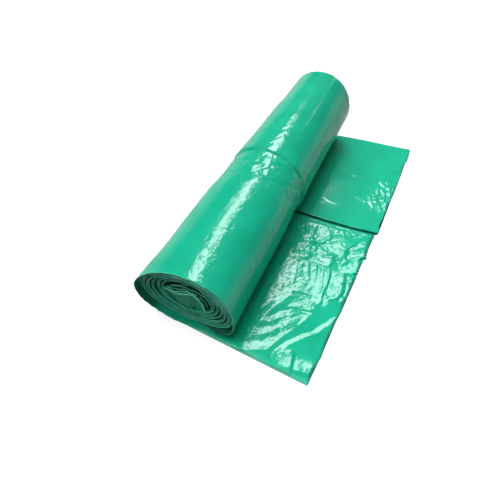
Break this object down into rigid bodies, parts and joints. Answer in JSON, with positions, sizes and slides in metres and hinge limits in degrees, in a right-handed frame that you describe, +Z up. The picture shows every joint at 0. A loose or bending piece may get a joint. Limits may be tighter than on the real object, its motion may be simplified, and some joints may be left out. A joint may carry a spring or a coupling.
{
  "type": "bin bag roll",
  "caption": "Coreless roll of folded plastic film bags lying on its side, pressed oval at one end, with the first bag pulled out flat along its length.",
  "frame": {"origin": "on the surface the roll lies on, under the middle of the roll at half its length", "axes": "+Z up; +Y along the roll, from its flatter end to its rounder end; +X towards the loose bag"},
  "size_m": [0.1336, 0.2788, 0.067],
  "materials": {
    "film": "glossy, slightly see-through thin film"
  },
  "bodies": {
    "root": {"bag_roll": "film"}
  },
  "joints": []
}
